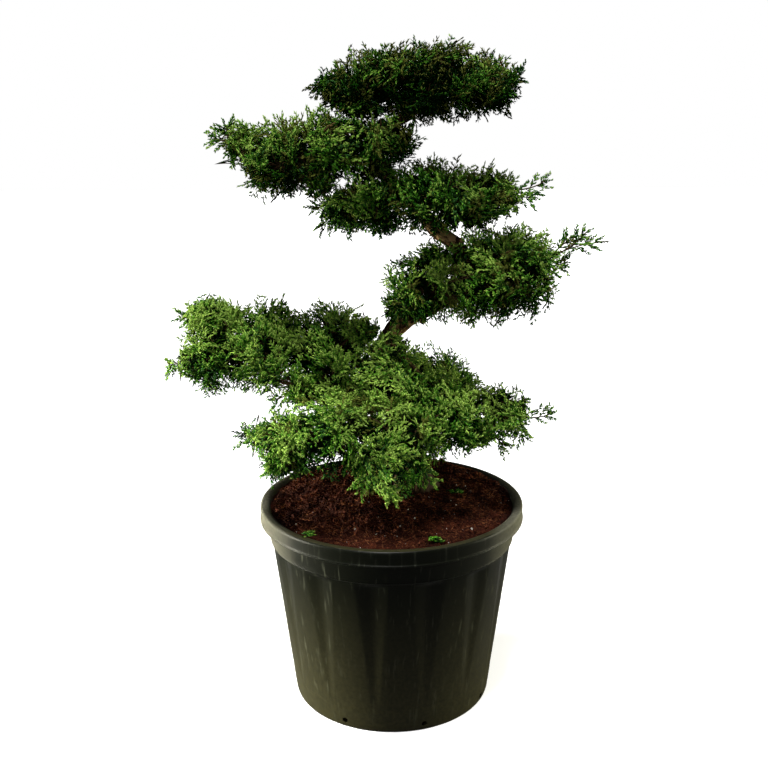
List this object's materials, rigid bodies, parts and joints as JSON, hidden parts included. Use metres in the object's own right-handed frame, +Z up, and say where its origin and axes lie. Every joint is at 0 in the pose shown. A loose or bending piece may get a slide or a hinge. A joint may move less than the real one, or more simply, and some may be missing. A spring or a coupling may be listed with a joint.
{
  "type": "potted juniper bonsai",
  "caption": "Cloud-pruned juniper with an S-shaped trunk and flat pads of feathery foliage, growing from soil in a large dark fluted nursery pot with a rolled rim.",
  "frame": {"origin": "centre of the pot's flat underside, on the ground", "axes": "+Z up, +Y away from the viewer of the plant's front, +X to the right of that view"},
  "size_m": [0.8314, 0.55, 1.2691],
  "materials": {
    "pot_plastic": "satin",
    "soil": "rough",
    "bark": "rough",
    "foliage": "matte"
  },
  "bodies": {
    "root": {"pot": "pot_plastic", "soil": "soil", "trunk": "bark", "bough_upper_left": "bark", "bough_middle_left": "bark", "bough_middle_right": "bark", "bough_right": "bark", "bough_lower_left": "bark", "bough_lower_right": "bark", "bough_front_left": "bark", "bough_front": "bark", "bough_back": "bark", "foliage_top": "foliage", "foliage_upper_left": "foliage", "foliage_middle_left": "foliage", "foliage_middle_right": "foliage", "foliage_right": "foliage", "foliage_lower_left": "foliage", "foliage_lower_right": "foliage", "foliage_front_left": "foliage", "foliage_front": "foliage", "foliage_back": "foliage"}
  },
  "joints": []
}
